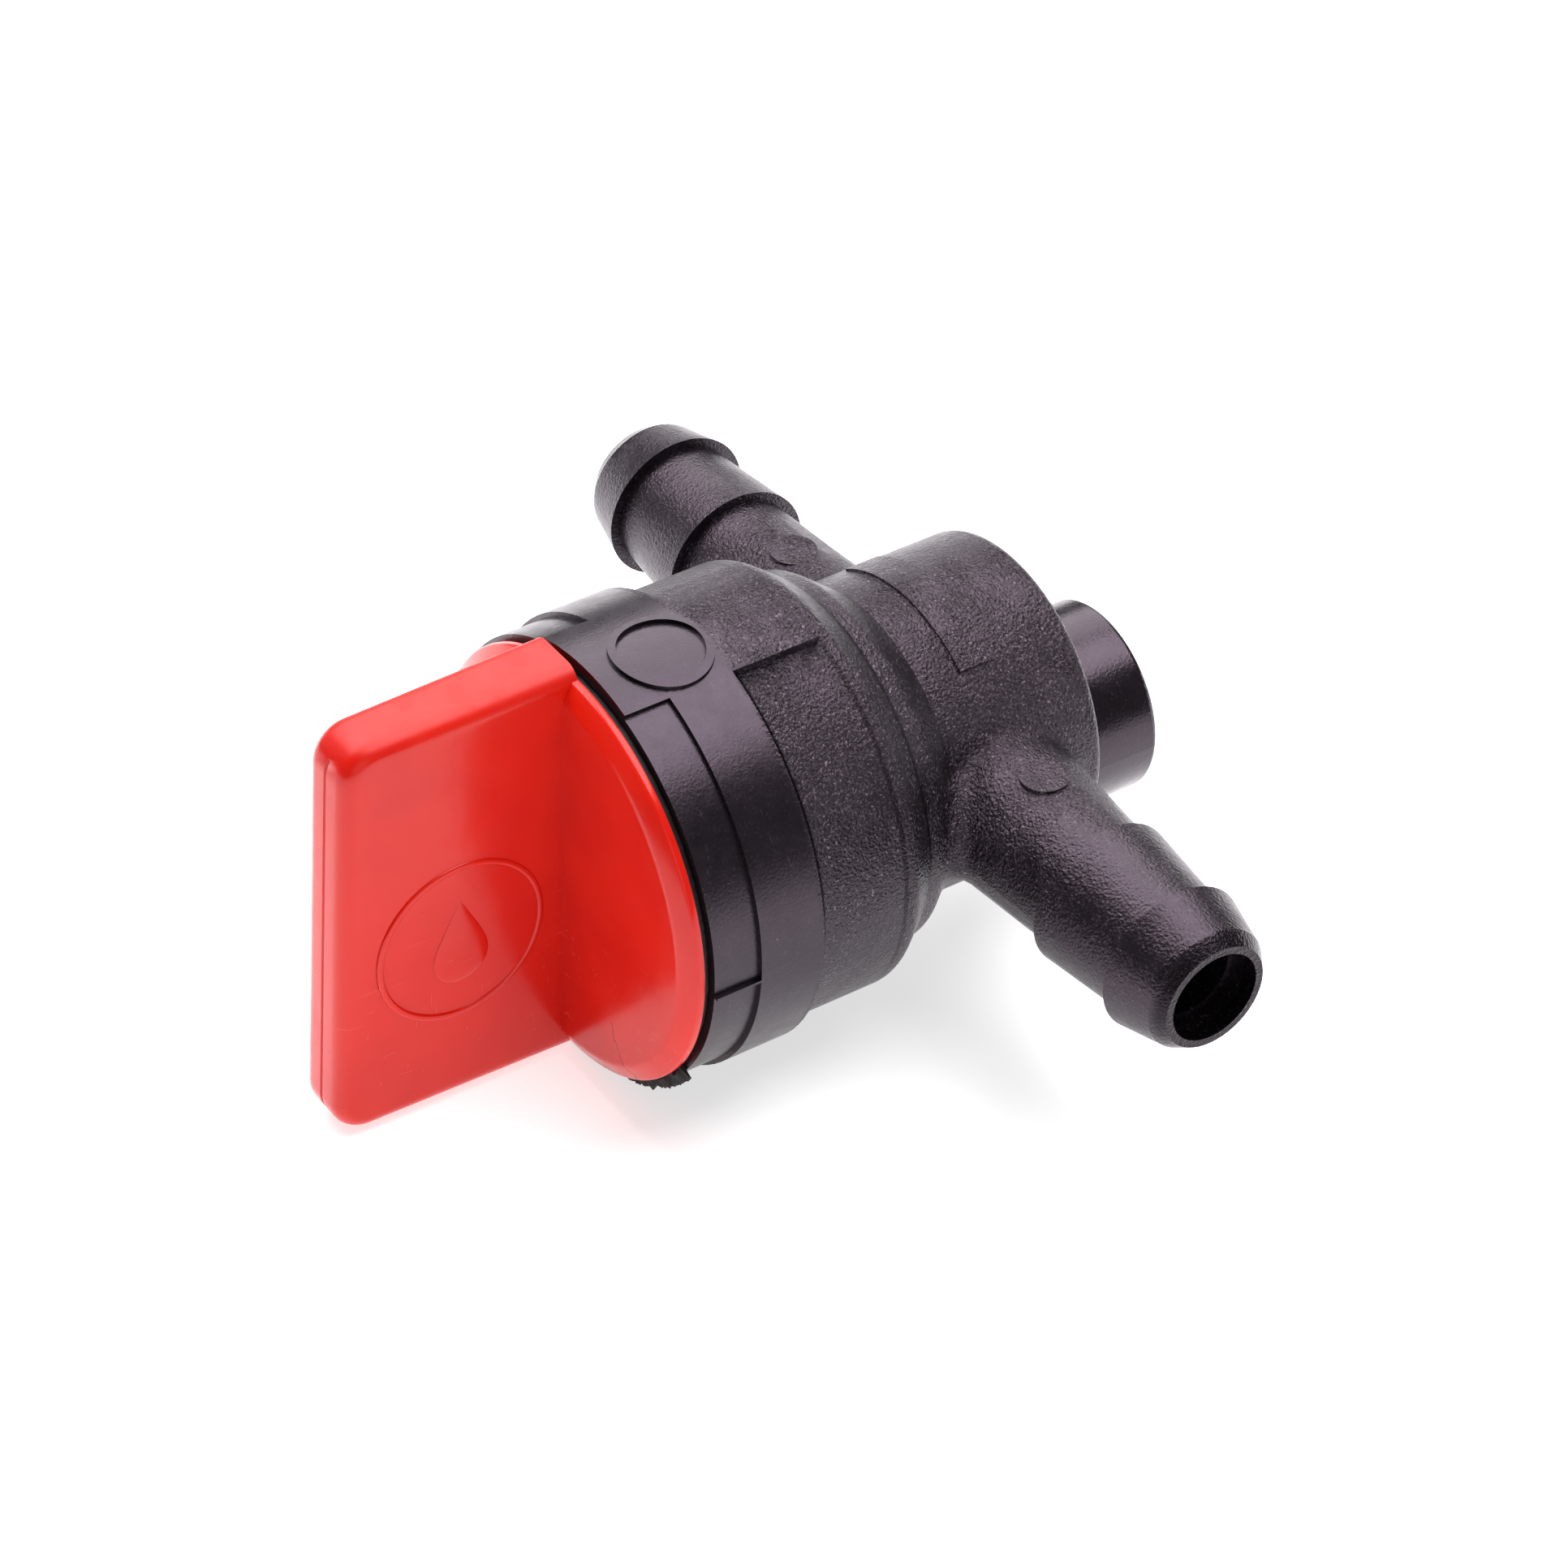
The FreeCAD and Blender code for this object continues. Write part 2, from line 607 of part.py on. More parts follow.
PARTS = [
    make_valve_body(),
    make_rotor(),
    make_knob(),
    make_thrust_washer(),
    make_retaining_ring(),
    make_dust_ring(),
    make_stem_o_ring(),
    make_port_seal("inlet_port_seal", -1),
    make_port_seal("outlet_port_seal", 1),
]
doc.recompute()

for item in doc.Objects:
    if "Invalid" in item.State or "Error" in item.State:
        raise RuntimeError("%s did not recompute: %s" % (item.Name, item.State))
for part in PARTS:
    if part.Shape.isNull() or not part.Shape.isValid() or len(part.Shape.Solids) != 1:
        raise RuntimeError("%s is not one sound solid" % part.Label)

os.makedirs("parts", exist_ok=True)
for part in PARTS:
    part.Shape.exportStep("parts/%s.step" % part.Label)
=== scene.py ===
"""The looks of an in-line fuel tap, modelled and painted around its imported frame.

Lengths are metres in the row frame: X along the flow, -Y out of the knob, Z up.
"""
import contextlib
import json
import math

import bpy
from bpy.props import FloatProperty, FloatVectorProperty, PointerProperty
from mathutils import Matrix, Vector


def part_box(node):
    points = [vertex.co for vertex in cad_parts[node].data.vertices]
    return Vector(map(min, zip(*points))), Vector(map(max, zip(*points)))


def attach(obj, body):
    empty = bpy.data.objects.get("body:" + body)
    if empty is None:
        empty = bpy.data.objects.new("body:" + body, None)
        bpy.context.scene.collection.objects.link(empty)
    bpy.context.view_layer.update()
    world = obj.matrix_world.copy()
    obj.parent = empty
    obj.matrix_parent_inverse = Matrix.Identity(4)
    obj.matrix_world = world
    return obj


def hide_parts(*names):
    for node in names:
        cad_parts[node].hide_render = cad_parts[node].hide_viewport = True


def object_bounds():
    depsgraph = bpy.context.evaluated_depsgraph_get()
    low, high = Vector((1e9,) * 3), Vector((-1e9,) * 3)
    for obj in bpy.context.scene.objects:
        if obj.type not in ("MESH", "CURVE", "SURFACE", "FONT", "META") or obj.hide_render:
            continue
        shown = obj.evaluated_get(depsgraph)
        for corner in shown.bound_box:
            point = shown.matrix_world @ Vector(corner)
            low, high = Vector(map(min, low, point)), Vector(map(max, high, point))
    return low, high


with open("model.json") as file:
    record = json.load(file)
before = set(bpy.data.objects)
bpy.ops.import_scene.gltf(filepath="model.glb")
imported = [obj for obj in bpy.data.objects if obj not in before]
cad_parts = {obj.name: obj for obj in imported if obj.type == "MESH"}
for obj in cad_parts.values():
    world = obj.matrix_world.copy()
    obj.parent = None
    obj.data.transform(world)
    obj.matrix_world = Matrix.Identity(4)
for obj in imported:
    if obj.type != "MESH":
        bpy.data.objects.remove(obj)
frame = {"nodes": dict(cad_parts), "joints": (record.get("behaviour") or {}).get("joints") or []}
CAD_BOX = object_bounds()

bl_info = {
    "name": "Fuel Tap",
    "version": (1, 0, 0),
    "blender": (4, 5, 0),
    "location": "View3D > Sidebar > Fuel Tap",
    "description": "Models and paints a quarter-turn fuel tap on its packed frame",
    "category": "Object",
}

MM = 0.001
MERGE = 1e-6
KNOB_LOW, KNOB_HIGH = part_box("knob")
BODY_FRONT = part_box("valve_body")[0].y
RING_LOW, RING_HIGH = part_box("dust_ring")
TURN_AXIS = Vector(frame["joints"][0]["pos_m"])
DISC_RADIUS = (KNOB_HIGH.x - KNOB_LOW.x) / 2

# Places along the knob's axis, radii about it, and the port mouths' reach from it.
DISC_BACK = -19.4 * MM
DISC_FRONT = -20.35 * MM
FACE_RADIUS = 10.05 * MM
CUP_RADIUS = 11.4 * MM
SKIRT_RADIUS = 7.9 * MM
SOCKET_RADIUS = 4.66 * MM
SOCKET_END = -17.5 * MM
DUST_RING_INNER = 10.2 * MM
BAND_BACK = -13.1 * MM
BARREL_END = 5.4 * MM
MOUTH_REACH = 24.0 * MM

# The blade's height at its tip as a share of that at its root, and the groove down its tip.
TIP_HEIGHT = 0.985
GROOVE_HALF_WIDTH, GROOVE_DEPTH, GROOVE_REACH = 0.11 * MM, 0.12 * MM, 0.9 * MM
GROOVE_TOP = KNOB_HIGH.z - 1.2 * MM

# The badge's middle, its ring, and the drop inside it; FLAT is depth as a share of width.
BADGE_ALONG, BADGE_HEIGHT = -25.9 * MM, -1.8 * MM
BADGE_WIRE, BADGE_FLAT = 0.17 * MM, 0.6
DROP_BELOW, DROP_RADIUS, DROP_POINT, DROP_FLAT = 1.0 * MM, 1.5 * MM, 1.9 * MM, 0.11

# The moulding flash: its arc in degrees from the flow, its tears, and where they balance.
FLASH_ARC = (-68, -36)
FLASH_TEAR, FLASH_BALANCE = 0.5 * MM, 0.58

# Painted shade lines round the cup, standing in for the shade at its steps and edges: place along
# the axis and half width in mm, then strength.
SHADE_LINES = ((-12.86, 0.27, 1.0), (-8.05, 0.20, 0.55), (-5.93, 0.20, 0.55))
SHADE_LINE_RADIUS = 11.15 * MM

# The hairline crack's upper and lower ends, as height and place from the turn axis.
CRACK_TOP, CRACK_BOTTOM = -6.3 * MM, -9.3 * MM
CRACK_TOP_OFF, CRACK_BOTTOM_OFF = 4.6 * MM, 6.15 * MM

# Linear colours of marks, of painted shade and painted sparkle, and of worn plastic.
SHADE_LINE_BLACK, LIP_SHADE_BLACK = (0.0010, 0.0008, 0.0010), (0.0012, 0.001, 0.0012)
DUST_AND_SPARKLE, PAINTED_GLINT, BLOOM = (0.30, 0.28, 0.29), (0.24, 0.19, 0.23), (0.03, 0.029, 0.03)
SCRATCH_RED, CRACK_RED = (0.90, 0.16, 0.12), (0.10, 0.006, 0.004)
ROTOR_WEAR, WASHER_WEAR = (0.66, 0.62, 0.54), (0.70, 0.70, 0.68)
BODY_SHEEN = (1.0, 0.78, 0.98)

# The studio: a floor just under the part, and an even world.
FLOOR_SIZE, FLOOR_GAP = 0.8, 0.05 * MM
FLOOR_GLOW = 0.70
WORLD_STRENGTH = 0.17

# Lamps: name, place from the aim in metres, width in metres, power in watts, tint.
LAMP_AIM = Vector((TURN_AXIS.x, -6 * MM, 0))
LAMPS = (
    ("overhead", (0.03, 0.125, 0.41), 0.40, 2.15, (1.0, 0.98, 1.0)),
    ("back", (-0.30, 0.21, 0.31), 0.36, 1.25, (1.0, 0.98, 1.0)),
    ("shoulder", (-0.27, -0.07, 0.38), 0.30, 1.5, (1.0, 0.97, 1.0)),
    ("right", (0.38, -0.16, 0.12), 0.40, 0.25, (1.0, 0.99, 0.98)),
    ("left", (-0.36, -0.20, 0.18), 0.30, 0.12, (1.0, 0.98, 0.99)),
)

# The camera: angles in degrees, its place from the turn axis, and its lens and sensor in mm.
CAMERA_AZIMUTH, CAMERA_ELEVATION, CAMERA_ROLL = 54.35, 39.29, 1.98
CAMERA_DISTANCE, CAMERA_RIGHT, CAMERA_UP = 291.55 * MM, -6.24 * MM, -3.02 * MM
CAMERA_LENS, CAMERA_SENSOR = 138.12111801242236, 36


# ---------------------------------------------------------------- properties


class TapSizes(bpy.types.PropertyGroup):
    """Sizes of the modelled pieces"""
    blade_thickness: FloatProperty(
        name="Blade thickness", description="Across the knob's blade at its root",
        default=3.6 * MM, unit="LENGTH", subtype="DISTANCE", precision=5)
    blade_taper: FloatProperty(
        name="Blade taper", description="Thickness at the tip as a share of that at the root",
        default=0.93, min=0.5, max=1.0)
    blade_lean: FloatProperty(
        name="Blade lean", description="How far the tip's lower end stands proud of its upper end",
        default=0.8 * MM, unit="LENGTH", subtype="DISTANCE", precision=5)
    blade_shift: FloatProperty(
        name="Blade shift", description="Blade middle from the turn axis, along the flow",
        default=-1.6 * MM, unit="LENGTH", subtype="DISTANCE", precision=5)
    corner_round: FloatProperty(
        name="Corner round", description="Radius of the blade's outer corners", default=1.8 * MM,
        unit="LENGTH", subtype="DISTANCE", precision=5)
    edge_round: FloatProperty(
        name="Edge round", description="Radius along the blade's edges", default=0.85 * MM,
        unit="LENGTH", subtype="DISTANCE", precision=5)
    disc_thickness: FloatProperty(
        name="Disc edge", description="Straight part of the disc's edge", default=0.35 * MM,
        unit="LENGTH", subtype="DISTANCE", precision=5)
    badge_radius: FloatProperty(
        name="Badge radius", description="Middle radius of the badge ring", default=4.4 * MM,
        unit="LENGTH", subtype="DISTANCE", precision=5)
    flash_height: FloatProperty(
        name="Flash height", description="How far the torn moulding flash stands out",
        default=0.3 * MM, unit="LENGTH", subtype="DISTANCE", precision=5)


class TapColours(bpy.types.PropertyGroup):
    """Base colours of the materials"""
    body: FloatVectorProperty(
        name="Body", description="Black nylon", default=(0.0048, 0.0036, 0.0046), size=3,
        min=0, max=1, subtype="COLOR")
    # The grain's flecks in this colour are painted sparkle; the scuffs use it too.
    body_sparkle_and_scuffs: FloatVectorProperty(
        name="Body grain", description="Bright flecks of the grained skin",
        default=(0.125, 0.098, 0.118), size=3, min=0, max=1, subtype="COLOR")
    knob: FloatVectorProperty(
        name="Knob", description="Red moulding", default=(0.67, 0.012, 0.004), size=3,
        min=0, max=1, subtype="COLOR")
    knob_deep: FloatVectorProperty(
        name="Knob, deep", description="Darker swirls in the red moulding",
        default=(0.60, 0.008, 0.003), size=3, min=0, max=1, subtype="COLOR")
    rubber: FloatVectorProperty(
        name="Rubber", description="Seals and dust ring", default=(0.006, 0.006, 0.0065), size=3,
        min=0, max=1, subtype="COLOR")
    rotor: FloatVectorProperty(
        name="Rotor", description="Natural acetal", default=(0.74, 0.71, 0.64), size=3,
        min=0, max=1, subtype="COLOR")
    washer: FloatVectorProperty(
        name="Washer", description="White slip washer", default=(0.82, 0.82, 0.80), size=3,
        min=0, max=1, subtype="COLOR")
    ring: FloatVectorProperty(
        name="Snap ring", description="Spring steel", default=(0.42, 0.41, 0.40), size=3,
        min=0, max=1, subtype="COLOR")
    floor: FloatVectorProperty(
        name="Floor", description="Pale studio floor", default=(0.90, 0.90, 0.90), size=3,
        min=0, max=1, subtype="COLOR")


# ------------------------------------------------------------ modelling tools


def deselect_all():
    """Leave edit mode and select nothing."""
    if bpy.context.object and bpy.context.object.mode != "OBJECT":
        bpy.ops.object.mode_set(mode="OBJECT")
    bpy.ops.object.select_all(action="DESELECT")


def start(name):
    """Name the object just added and apply its place to its mesh."""
    piece = bpy.context.object
    piece.name = name
    piece.data.name = name
    bpy.ops.object.transform_apply(location=True, rotation=True, scale=True)
    return piece


def edit(piece, kind):
    """Make a piece active in object mode, its mesh set to one kind with nothing selected."""
    deselect_all()
    bpy.context.view_layer.objects.active = piece
    piece.select_set(True)
    bpy.ops.object.mode_set(mode="EDIT")
    bpy.ops.mesh.select_mode(type=kind)
    bpy.ops.mesh.select_all(action="DESELECT")
    bpy.ops.object.mode_set(mode="OBJECT")


@contextlib.contextmanager
def picked(piece, kind, test):
    """Hold a piece in edit mode with only the items that pass a test selected."""
    edit(piece, kind)
    mesh = piece.data
    items = {"VERT": mesh.vertices, "EDGE": mesh.edges, "FACE": mesh.polygons}[kind]
    count = 0
    for item in items:
        item.select = bool(test(item))
        count += item.select
    bpy.ops.object.mode_set(mode="EDIT")
    if not count:
        raise RuntimeError("nothing to select on " + piece.name)
    yield
    bpy.ops.object.mode_set(mode="OBJECT")


@contextlib.contextmanager
def all_picked(piece):
    """Hold a piece in edit mode with all of it selected."""
    edit(piece, "VERT")
    bpy.ops.object.mode_set(mode="EDIT")
    bpy.ops.mesh.select_all(action="SELECT")
    yield
    bpy.ops.object.mode_set(mode="OBJECT")


def ends(piece, edge):
    """The two end points of an edge."""
    return [piece.data.vertices[index].co for index in edge.vertices]


def clean(piece, angle=35):
    """Merge doubles, turn the faces outward and smooth all but the sharp edges."""
    with all_picked(piece):
        bpy.ops.mesh.remove_doubles(threshold=MERGE)
        bpy.ops.mesh.normals_make_consistent(inside=False)
    bpy.ops.object.shade_smooth_by_angle(angle=math.radians(angle))


def apply_modifiers(piece):
    """Apply every modifier of a piece, in order."""
    deselect_all()
    bpy.context.view_layer.objects.active = piece
    piece.select_set(True)
    for modifier in list(piece.modifiers):
        bpy.ops.object.modifier_apply(modifier=modifier.name)


def spun(name, profile, steps=160, arc=None):
    """Spin a profile of (radius, along) points about the turn axis, or through an arc of it."""
    deselect_all()
    bpy.ops.mesh.primitive_plane_add(size=MM, location=(0, 0, 0))
    piece = bpy.context.object
    piece.name = name
    piece.data.name = name
    bpy.ops.object.mode_set(mode="EDIT")
    bpy.ops.mesh.select_all(action="SELECT")
    bpy.ops.mesh.merge(type="CENTER")
    radius, along = profile[0]
    bpy.ops.transform.translate(value=(TURN_AXIS.x + radius, along, 0))
    for (radius_a, along_a), (radius_b, along_b) in zip(profile, profile[1:]):
        bpy.ops.mesh.extrude_vertices_move(TRANSFORM_OT_translate={
            "value": (radius_b - radius_a, along_b - along_a, 0)})
    bpy.ops.mesh.select_all(action="SELECT")
    first, last = [math.radians(angle) for angle in arc or (0, 360)]
    bpy.ops.mesh.spin(steps=steps, angle=last - first, center=TURN_AXIS, axis=(0, 1, 0))
    bpy.ops.mesh.select_all(action="SELECT")
    bpy.ops.mesh.remove_doubles(threshold=MERGE)
    bpy.ops.transform.rotate(value=first, orient_axis="Y", center_override=TURN_AXIS)
    bpy.ops.mesh.normals_make_consistent(inside=False)
    bpy.ops.object.mode_set(mode="OBJECT")
    return piece


def join(piece, other):
    """Unite another piece with this one and remove the other."""
    modifier = piece.modifiers.new("Union", "BOOLEAN")
    modifier.operation = "UNION"
    modifier.solver = "EXACT"
    modifier.object = other
    apply_modifiers(piece)
    bpy.data.objects.remove(other)


def use_material(piece, material):
    """One material in every slot of a piece."""
    if not piece.data.materials:
        piece.data.materials.append(material)
    for index in range(len(piece.data.materials)):
        piece.data.materials[index] = material


# ------------------------------------------------------------ painting tools


class Paint:
    """A new node material with short ways to add and join nodes."""

    def __init__(self, name):
        self.material = bpy.data.materials.new(name)
        self.material.use_nodes = True
        self.tree = self.material.node_tree
        self.shader = self.tree.nodes["Principled BSDF"]
        self.where = self.add("ShaderNodeTexCoord").outputs["Object"]

    def add(self, kind, **settings):
        """Add a node and set its own properties."""
        node = self.tree.nodes.new(kind)
        for key, value in settings.items():
            setattr(node, key, value)
        return node

    def put(self, value, socket):
        """Link a socket to an input, or set the input to a plain value."""
        if isinstance(value, bpy.types.NodeSocket):
            self.tree.links.new(value, socket)
        else:
            socket.default_value = value

    def noise(self, size, detail=3.0, roughness=0.55, where=None):
        """Noise whose lumps are about `size` metres across."""
        node = self.add("ShaderNodeTexNoise")
        self.put(where or self.where, node.inputs["Vector"])
        self.put(1 / size, node.inputs["Scale"])
        self.put(detail, node.inputs["Detail"])
        self.put(roughness, node.inputs["Roughness"])
        return node.outputs["Fac"]

    def cells(self, size):
        """Distance from the middles of cells about `size` metres across."""
        node = self.add("ShaderNodeTexVoronoi")
        self.put(self.where, node.inputs["Vector"])
        self.put(1 / size, node.inputs["Scale"])
        return node.outputs["Distance"]

    def stretched(self, scale, turn=(0, 0, 0)):
        """Object coordinates turned and scaled, for marks that run one way."""
        node = self.add("ShaderNodeMapping")
        self.put(self.where, node.inputs["Vector"])
        node.inputs["Rotation"].default_value = turn
        node.inputs["Scale"].default_value = scale
        return node.outputs["Vector"]

    def ramp(self, value, low, high, bottom=0.0, top=1.0):
        """Map low..high smoothly to bottom..top, and hold the ends."""
        node = self.add("ShaderNodeMapRange", interpolation_type="SMOOTHSTEP")
        for item, socket in zip((value, low, high, bottom, top), node.inputs):
            self.put(item, socket)
        return node.outputs["Result"]

    def maths(self, operation, first, second=0.0):
        """One arithmetic node."""
        node = self.add("ShaderNodeMath", operation=operation)
        self.put(first, node.inputs[0])
        self.put(second, node.inputs[1])
        return node.outputs["Value"]

    def times(self, first, second):
        """Product of two values."""
        return self.maths("MULTIPLY", first, second)

    def plus(self, first, second):
        """Sum of two values."""
        return self.maths("ADD", first, second)

    def minus(self, first, second):
        """First value less the second."""
        return self.maths("SUBTRACT", first, second)

    def axis(self, letter):
        """One object coordinate, in metres."""
        node = self.add("ShaderNodeSeparateXYZ")
        self.put(self.where, node.inputs[0])
        return node.outputs[letter]

    def mix(self, amount, first, second):
        """Blend two colours by an amount."""
        node = self.add("ShaderNodeMix", data_type="RGBA")
        self.put(amount, node.inputs["Factor"])
        for value, socket in ((first, node.inputs[6]), (second, node.inputs[7])):
            if not isinstance(value, bpy.types.NodeSocket):
                value = (*value[:3], 1.0)
            self.put(value, socket)
        return node.outputs[2]

    def bump(self, height, distance, strength=1.0, under=None):
        """A bumped normal, laid over the one under it if given."""
        node = self.add("ShaderNodeBump")
        self.put(height, node.inputs["Height"])
        self.put(distance, node.inputs["Distance"])
        self.put(strength, node.inputs["Strength"])
        if under:
            self.put(under, node.inputs["Normal"])
        return node.outputs["Normal"]

    def finish(self, **sockets):
        """Fill the shader's inputs, with _ for a space in their names, and return the material."""
        for name, value in sockets.items():
            socket = self.shader.inputs[name.replace("_", " ")]
            if not isinstance(value, bpy.types.NodeSocket) and socket.type == "RGBA":
                value = (*value[:3], 1.0)
            self.put(value, socket)
        return self.material


def black_nylon(colours):
    """Black glass-filled nylon: grain behind, its sparkle partly painted into the colour, satin at
    the front band and the boss, with painted shade in lines round the cup and on the mouths' lips.
    """
    paint = Paint("black_nylon")
    along, across = paint.axis("Y"), paint.axis("X")
    reach = paint.maths("ABSOLUTE", paint.minus(across, TURN_AXIS.x))
    lip = paint.ramp(reach, MOUTH_REACH - 1.1 * MM, MOUTH_REACH - 0.7 * MM)
    line_shade = painted_shade_lines(paint, across, along)
    grained = grain_cover(paint, along, reach)
    broad = paint.noise(3.0 * MM, 3.0)

    colour = nylon_colour(paint, colours, grained, broad)
    # Painted shade along the cup's steps and shoulders.
    colour = paint.mix(line_shade, colour, SHADE_LINE_BLACK)
    # Painted shade darkens the mouth's lip.
    colour = paint.mix(paint.times(lip, 0.7), colour, LIP_SHADE_BLACK)
    roughness = paint.ramp(paint.noise(0.9 * MM, 4.0), 0.3, 0.7, 0.27, 0.34)
    smooth_boss = paint.ramp(along, BARREL_END, BARREL_END + 0.4 * MM, 0.0, 0.08)
    roughness = paint.minus(roughness, smooth_boss)
    roughness = paint.minus(roughness, paint.times(lip, 0.10))
    grit = paint.noise(0.14 * MM, 2.0, 0.6)
    height = paint.plus(grit, paint.times(paint.cells(0.19 * MM), 0.4))
    normal = paint.bump(paint.times(height, grained), 0.15 * MM)
    normal = paint.bump(broad, 0.03 * MM, 0.3, normal)
    shine = paint.ramp(reach, MOUTH_REACH - 0.8 * MM, MOUTH_REACH - 0.3 * MM, 0.5, 0.2)
    # The painted shade lines also shine less.
    shine = paint.times(shine, paint.ramp(line_shade, 0, 1, 1, 0.1))
    return paint.finish(Base_Color=colour, Roughness=roughness, Normal=normal,
                        Specular_IOR_Level=shine, Specular_Tint=BODY_SHEEN)


def grain_cover(paint, along, reach):
    """How strongly each place of the body is grained, from 0.07 to 1."""
    behind_band = paint.ramp(along, BAND_BACK - 0.4 * MM, BAND_BACK + 0.4 * MM)
    before_boss = paint.ramp(along, BARREL_END + 0.3 * MM, BARREL_END)
    near_root = paint.ramp(reach, 19.0 * MM, 9.5 * MM, 0.35, 1.0)
    patchy = paint.ramp(paint.noise(2.6 * MM, 3.0), 0.30, 0.65, 0.5, 1.0)
    cover = paint.times(paint.times(behind_band, before_boss), near_root)
    return paint.maths("MAXIMUM", paint.times(cover, patchy), 0.07)


def nylon_colour(paint, colours, grained, broad):
    """Near black, uneven over a few millimetres, with scuffs, with pale specks that are dust and
    painted sparkle, and with flecks and glints painted as sparkle on the grain.
    """
    deep = [channel * 0.7 for channel in colours.body]
    pale = [channel * 1.3 for channel in colours.body]
    colour = paint.mix(paint.ramp(broad, 0.35, 0.7), deep, pale)
    # Flecks on the grain: painted sparkle.
    painted_sparkle = paint.ramp(paint.noise(0.15 * MM, 2.0, 0.6), 0.56, 0.74)
    colour = paint.mix(paint.times(painted_sparkle, grained), colour, colours.body_sparkle_and_scuffs)
    # Pale specks: dust, and painted sparkle.
    dust_and_sparkle = paint.ramp(paint.noise(0.20 * MM, 2.0, 0.5), 0.76, 0.80)
    colour = paint.mix(paint.times(dust_and_sparkle, 0.5), colour, DUST_AND_SPARKLE)
    # Painted glints on the grain.
    painted_glints = paint.ramp(paint.noise(0.17 * MM, 1.0, 0.5), 0.66, 0.74)
    painted_glints = paint.times(painted_glints, paint.times(grained, 0.75))
    colour = paint.mix(painted_glints, colour, PAINTED_GLINT)
    scuffs = paint.noise(1.0, 2.0, 0.6, paint.stretched((900, 5200, 900), (0.5, 0.2, 0.7)))
    scuffs = paint.ramp(scuffs, 0.66, 0.74)
    return paint.mix(paint.times(scuffs, 0.14), colour, colours.body_sparkle_and_scuffs)


def painted_shade_lines(paint, across, along):
    """Painted shade lines round the cup: behind the front band and along each shoulder."""
    sideways = paint.minus(across, TURN_AXIS.x)
    height = paint.axis("Z")
    square = paint.plus(paint.times(sideways, sideways), paint.times(height, height))
    radius = paint.maths("SQRT", square)
    lines = 0.0
    for place, half_width, strength in SHADE_LINES:
        gap = paint.maths("ABSOLUTE", paint.minus(along, place * MM))
        line = paint.ramp(gap, half_width * MM, half_width * 0.35 * MM, 0.0, strength)
        lines = paint.maths("MAXIMUM", line, lines)
    return paint.times(lines, paint.ramp(radius, SHADE_LINE_RADIUS, SHADE_LINE_RADIUS - 0.1 * MM))


def red_acetal(colours):
    """Bright red moulding, glossy, with flow swirls, rubbed patches and fine scratches."""
    paint = Paint("red_acetal")
    swirl = paint.noise(7.0 * MM, 2.0, 0.5)
    colour = paint.mix(paint.ramp(swirl, 0.35, 0.7), colours.knob, colours.knob_deep)
    marks = knob_marks(paint)
    crack = hairline_crack(paint)
    colour = paint.mix(paint.times(marks, 0.22), colour, SCRATCH_RED)
    colour = paint.mix(paint.times(crack, 0.75), colour, CRACK_RED)
    rubbed = paint.ramp(paint.noise(1.6 * MM, 4.0, 0.65), 0.40, 0.72)
    matt_top = paint.ramp(paint.axis("Z"), 10.6 * MM, 11.3 * MM, 0.0, 0.22)
    roughness = paint.plus(paint.times(rubbed, 0.09), 0.18)
    roughness = paint.plus(roughness, paint.times(marks, 0.2))
    roughness = paint.plus(roughness, matt_top)
    normal = paint.bump(paint.noise(0.22 * MM, 2.0), 0.006 * MM, 0.5)
    normal = paint.bump(marks, 0.01 * MM, 0.4, normal)
    normal = paint.bump(paint.noise(2.4 * MM, 2.0), 0.05 * MM, 0.5, normal)
    normal = paint.bump(crack, -0.03 * MM, 0.6, normal)
    return paint.finish(Base_Color=colour, Roughness=roughness, Normal=normal,
                        Subsurface_Weight=0.12, Subsurface_Radius=(1.0, 0.2, 0.1),
                        Subsurface_Scale=0.6 * MM, Specular_IOR_Level=0.34)


def knob_marks(paint):
    """Fine scratches two ways, more of them low down, and short strokes beside the disc."""
    hair = paint.noise(1.0, 2.0, 0.5, paint.stretched((300, 300, 9000), (0.4, 0.0, 0.0)))
    cross = paint.noise(1.0, 2.0, 0.5, paint.stretched((400, 8000, 500), (0.9, 0.3, 0.2)))
    scratches = paint.maths("MAXIMUM", paint.ramp(hair, 0.71, 0.76), paint.ramp(cross, 0.72, 0.77))
    scratches = paint.times(scratches, paint.ramp(paint.axis("Z"), 3 * MM, -9 * MM, 0.1, 1.0))
    strokes = paint.noise(1.0, 3.0, 0.6, paint.stretched((1500, 9000, 1500), (0.9, 0.0, 0.5)))
    strokes = paint.ramp(strokes, 0.60, 0.70)
    near_disc = paint.ramp(paint.axis("Y"), -24.5 * MM, -21.5 * MM)
    low_down = paint.ramp(paint.axis("Z"), -1.5 * MM, -5.0 * MM)
    strokes = paint.times(strokes, paint.times(near_disc, low_down))
    return paint.maths("MAXIMUM", scratches, paint.times(strokes, 0.3))


